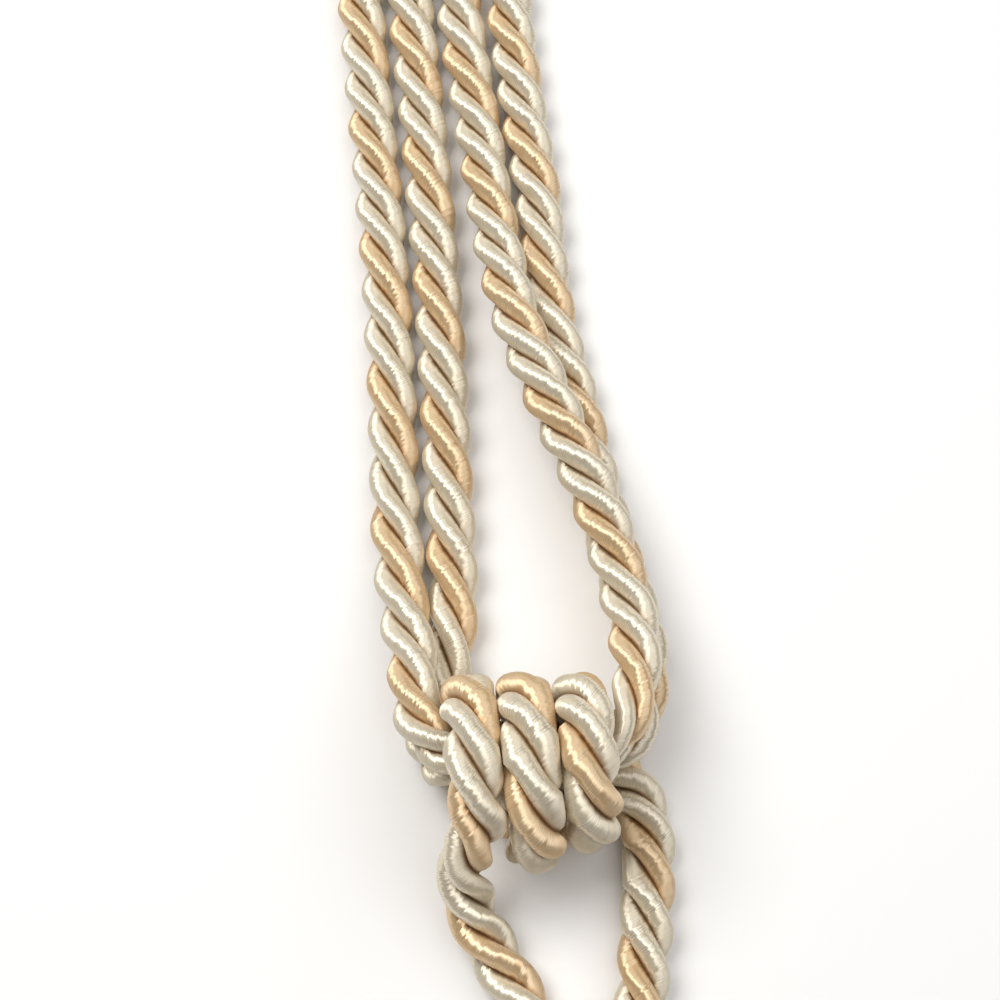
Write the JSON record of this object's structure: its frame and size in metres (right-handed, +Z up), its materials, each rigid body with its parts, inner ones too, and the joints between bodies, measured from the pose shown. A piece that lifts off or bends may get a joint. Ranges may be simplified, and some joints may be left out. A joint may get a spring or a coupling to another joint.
{
  "type": "curtain tieback with tassel",
  "caption": "Curtain tieback of twisted satin cord: two long loops held by a wrapped knot, with a tassel hanging from the knot on two cords.",
  "frame": {"origin": "on the surface that the tieback lies on, where the flat underside of the knot rests", "axes": "+Y from the knot to the far end of the loops, the tassel towards -Y, +Z up from the surface"},
  "size_m": [0.0823, 0.6482, 0.0367],
  "materials": {
    "ivory_satin": "satin",
    "gold_satin": "satin"
  },
  "bodies": {
    "root": {"loop_cord": "ivory_satin", "hanging_cord": "ivory_satin", "tassel": "ivory_satin", "neck_binding": "gold_satin"}
  },
  "joints": []
}
